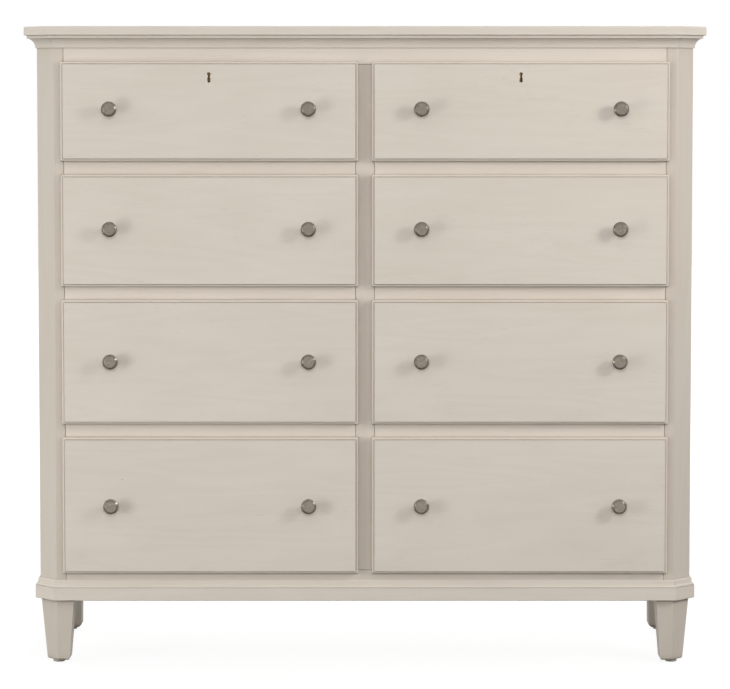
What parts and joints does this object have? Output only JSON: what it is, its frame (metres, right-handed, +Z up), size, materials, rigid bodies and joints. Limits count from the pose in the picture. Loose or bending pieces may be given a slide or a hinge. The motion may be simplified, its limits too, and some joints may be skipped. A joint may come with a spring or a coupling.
{
  "type": "chest of drawers",
  "caption": "Painted wooden chest of drawers: two columns of graduated drawers with round knobs, canted front corners, cove cornice, base moulding and short tapered feet",
  "frame": {"origin": "on the floor under the middle of the whole piece's bounding box", "axes": "+X to the viewer's right along the front, +Y from the front to the back, +Z up; the drawers open towards -Y"},
  "size_m": [1.422, 0.4915, 1.336],
  "materials": {
    "painted": "satin paint over wood, pale greige with faint grain and light wear",
    "inner_wood": "bare pale softwood",
    "sheet_wood": "bare plywood sheet",
    "nickel": "aged nickel",
    "brass": "dull brass",
    "nylon": "moulded"
  },
  "bodies": {
    "case": {"top_panel": "painted", "cornice_moulding": "painted", "front_post_left": "painted", "front_post_right": "painted", "rear_posts": "painted", "side_panel_left": "painted", "side_panel_right": "painted", "top_rail": "painted", "bottom_rail": "painted", "centre_muntin": "painted", "drawer_rails": "painted", "centre_partition": "inner_wood", "drawer_runners": "inner_wood", "top_kickers": "inner_wood", "web_back_rails": "inner_wood", "dust_panels": "sheet_wood", "drawer_guides": "inner_wood", "base_moulding": "painted", "front_feet": "painted", "rear_feet": "painted", "foot_glides": "nylon", "back_panel": "sheet_wood", "rear_rails": "inner_wood", "corner_blocks": "inner_wood"},
    "drawer_1_left": {"drawer_1_left_front": "painted", "drawer_1_left_box": "inner_wood", "drawer_1_left_bottom": "sheet_wood", "drawer_1_left_knobs": "nickel", "lock_left": "brass"},
    "drawer_1_right": {"drawer_1_right_front": "painted", "drawer_1_right_box": "inner_wood", "drawer_1_right_bottom": "sheet_wood", "drawer_1_right_knobs": "nickel", "lock_right": "brass"},
    "drawer_2_left": {"drawer_2_left_front": "painted", "drawer_2_left_box": "inner_wood", "drawer_2_left_bottom": "sheet_wood", "drawer_2_left_knobs": "nickel"},
    "drawer_2_right": {"drawer_2_right_front": "painted", "drawer_2_right_box": "inner_wood", "drawer_2_right_bottom": "sheet_wood", "drawer_2_right_knobs": "nickel"},
    "drawer_3_left": {"drawer_3_left_front": "painted", "drawer_3_left_box": "inner_wood", "drawer_3_left_bottom": "sheet_wood", "drawer_3_left_knobs": "nickel"},
    "drawer_3_right": {"drawer_3_right_front": "painted", "drawer_3_right_box": "inner_wood", "drawer_3_right_bottom": "sheet_wood", "drawer_3_right_knobs": "nickel"},
    "drawer_4_left": {"drawer_4_left_front": "painted", "drawer_4_left_box": "inner_wood", "drawer_4_left_bottom": "sheet_wood", "drawer_4_left_knobs": "nickel"},
    "drawer_4_right": {"drawer_4_right_front": "painted", "drawer_4_right_box": "inner_wood", "drawer_4_right_bottom": "sheet_wood", "drawer_4_right_knobs": "nickel"},
    "bolt_left": {"lock_bolt_left": "brass"},
    "bolt_right": {"lock_bolt_right": "brass"}
  },
  "joints": [
    {"name": "drawer_1_left_slide", "type": "slide", "parent": "case", "child": "drawer_1_left", "axis": [0, -1, 0], "range_m": [0, 0.33]},
    {"name": "drawer_1_right_slide", "type": "slide", "parent": "case", "child": "drawer_1_right", "axis": [0, -1, 0], "range_m": [0, 0.33]},
    {"name": "drawer_2_left_slide", "type": "slide", "parent": "case", "child": "drawer_2_left", "axis": [0, -1, 0], "range_m": [0, 0.33]},
    {"name": "drawer_2_right_slide", "type": "slide", "parent": "case", "child": "drawer_2_right", "axis": [0, -1, 0], "range_m": [0, 0.33]},
    {"name": "drawer_3_left_slide", "type": "slide", "parent": "case", "child": "drawer_3_left", "axis": [0, -1, 0], "range_m": [0, 0.33]},
    {"name": "drawer_3_right_slide", "type": "slide", "parent": "case", "child": "drawer_3_right", "axis": [0, -1, 0], "range_m": [0, 0.33]},
    {"name": "drawer_4_left_slide", "type": "slide", "parent": "case", "child": "drawer_4_left", "axis": [0, -1, 0], "range_m": [0, 0.33]},
    {"name": "drawer_4_right_slide", "type": "slide", "parent": "case", "child": "drawer_4_right", "axis": [0, -1, 0], "range_m": [0, 0.33]},
    {"name": "bolt_left_slide", "type": "slide", "parent": "drawer_1_left", "child": "bolt_left", "axis": [0, 0, 1], "range_m": [0, 0.009]},
    {"name": "bolt_right_slide", "type": "slide", "parent": "drawer_1_right", "child": "bolt_right", "axis": [0, 0, 1], "range_m": [0, 0.009]}
  ]
}
